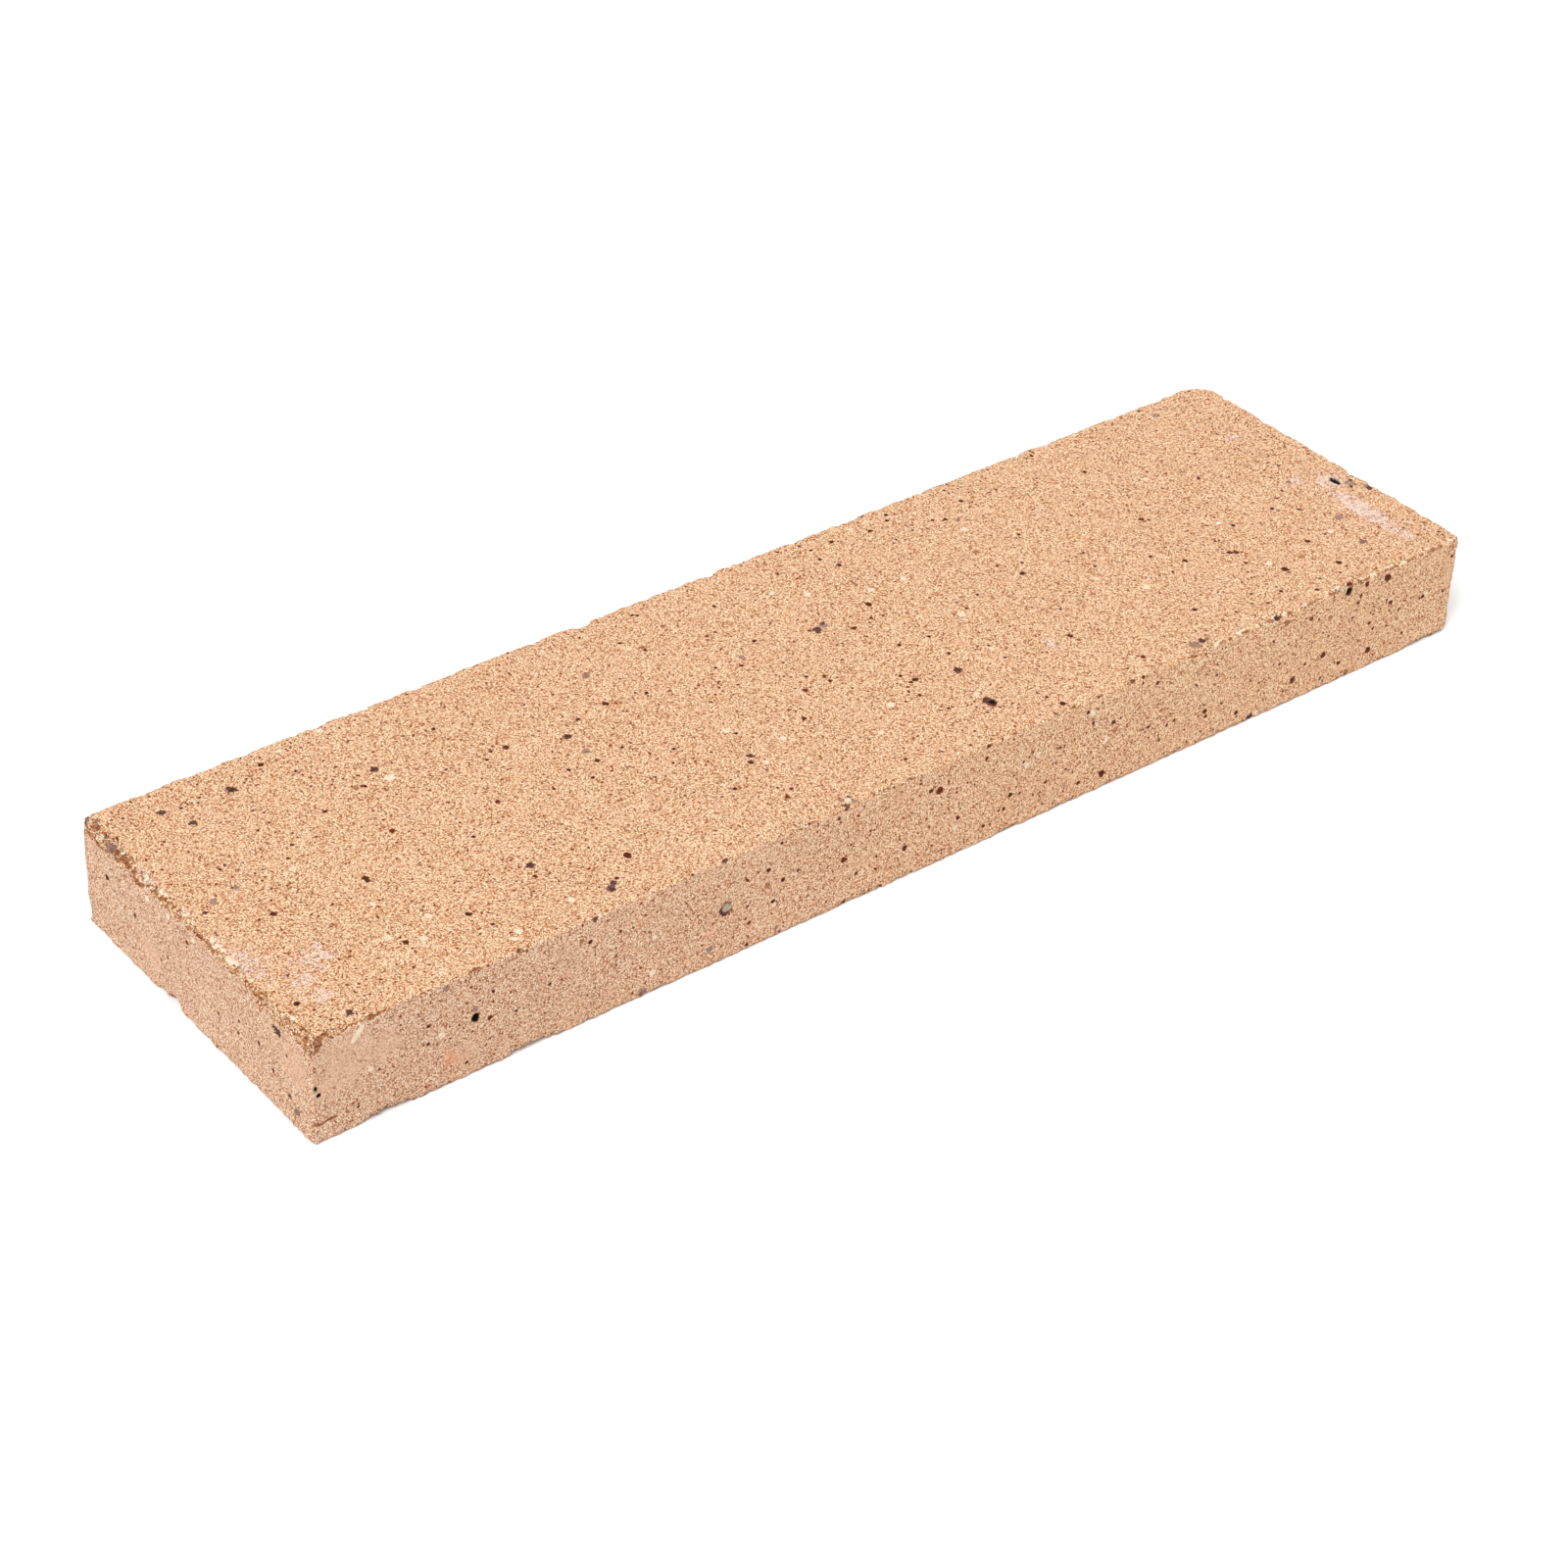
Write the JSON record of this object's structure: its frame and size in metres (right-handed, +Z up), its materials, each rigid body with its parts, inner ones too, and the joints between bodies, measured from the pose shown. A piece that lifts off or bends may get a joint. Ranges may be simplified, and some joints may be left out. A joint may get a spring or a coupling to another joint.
{
  "type": "refractory firebrick",
  "caption": "Thin rectangular firebrick of buff fired fireclay, with worn corners and a crumbled arris, for lining hearths, stoves and kilns.",
  "frame": {"origin": "middle of the bed, the lower broad face", "axes": "+X along the length towards the far end, +Y across the width towards the back face, +Z up through the thickness"},
  "size_m": [0.23, 0.065, 0.019],
  "materials": {
    "fireclay": "matte"
  },
  "bodies": {
    "root": {"firebrick": "fireclay"}
  },
  "joints": []
}
